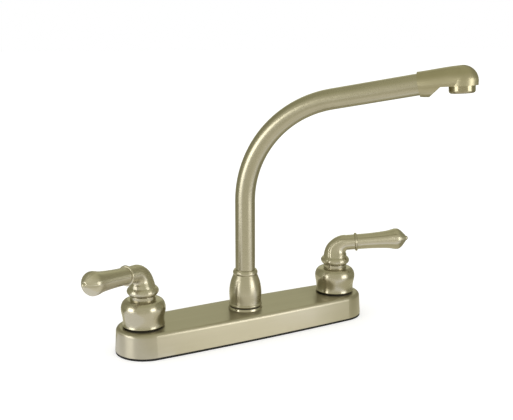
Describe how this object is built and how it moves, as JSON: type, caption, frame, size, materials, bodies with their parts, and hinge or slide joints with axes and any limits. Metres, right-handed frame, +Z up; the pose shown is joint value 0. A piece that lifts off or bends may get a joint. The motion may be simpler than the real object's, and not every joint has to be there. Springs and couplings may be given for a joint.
{
  "type": "kitchen tap",
  "caption": "Two-handle kitchen tap on an oblong deck plate, with lever handles on bell skirts and a tall swivelling spout ending in an aerator.",
  "frame": {"origin": "centre of the gasket's underside, on the deck surface, on the spout's swivel axis", "axes": "+X along the deck plate to the cold handle, +Y away from the user, +Z up"},
  "size_m": [0.3283, 0.1782, 0.2937],
  "materials": {
    "brushed_nickel": "satin brushed nickel plating on cast and tubular metal, warm tint",
    "polished_nickel": "polished nickel plating",
    "brass": "plain turned brass",
    "stainless_steel": "plain stainless steel",
    "black_rubber": "matte black rubber",
    "nylon": "natural moulded nylon",
    "black_nylon": "black moulded nylon",
    "white_ceramic": "lapped white alumina"
  },
  "bodies": {
    "base": {"deck_plate": "brushed_nickel", "base_gasket": "black_rubber", "spout_block": "brass", "spout_post": "brass", "spout_seals": "black_rubber", "retaining_clip": "stainless_steel", "base_ring": "brushed_nickel", "glide_washer": "black_nylon", "hot_valve_body": "brass", "hot_cross_tube": "brass", "hot_seat_seal": "black_rubber", "hot_fixed_disc": "white_ceramic", "hot_cartridge": "nylon", "hot_cartridge_seal": "black_rubber", "hot_bonnet_nut": "brass", "hot_plate_nut": "black_nylon", "cold_valve_body": "brass", "cold_cross_tube": "brass", "cold_seat_seal": "black_rubber", "cold_fixed_disc": "white_ceramic", "cold_cartridge": "nylon", "cold_cartridge_seal": "black_rubber", "cold_bonnet_nut": "brass", "cold_plate_nut": "black_nylon"},
    "hot_handle": {"hot_moving_disc": "white_ceramic", "hot_stem": "brass", "hot_stem_seal": "black_rubber", "hot_bell": "brushed_nickel", "hot_lever": "brushed_nickel", "hot_set_screw": "stainless_steel"},
    "cold_handle": {"cold_moving_disc": "white_ceramic", "cold_stem": "brass", "cold_stem_seal": "black_rubber", "cold_bell": "brushed_nickel", "cold_lever": "brushed_nickel", "cold_set_screw": "stainless_steel"},
    "spout": {"spout_hub": "brushed_nickel", "spout_tube": "brushed_nickel", "spout_head": "brushed_nickel", "aerator_housing": "polished_nickel", "aerator_washer": "black_rubber", "aerator_mixer": "nylon", "aerator_screen": "nylon"}
  },
  "joints": [
    {"name": "spout_swivel", "type": "hinge", "parent": "base", "child": "spout", "pos_m": [0, 0, 0.04], "axis": [0, 0, 1], "continuous": true},
    {"name": "hot_handle_turn", "type": "hinge", "parent": "base", "child": "hot_handle", "pos_m": [-0.1016, 0, 0.04], "axis": [0, 0, 1], "range_deg": [0, 90]},
    {"name": "cold_handle_turn", "type": "hinge", "parent": "base", "child": "cold_handle", "pos_m": [0.1016, 0, 0.04], "axis": [0, 0, -1], "range_deg": [0, 90]}
  ]
}
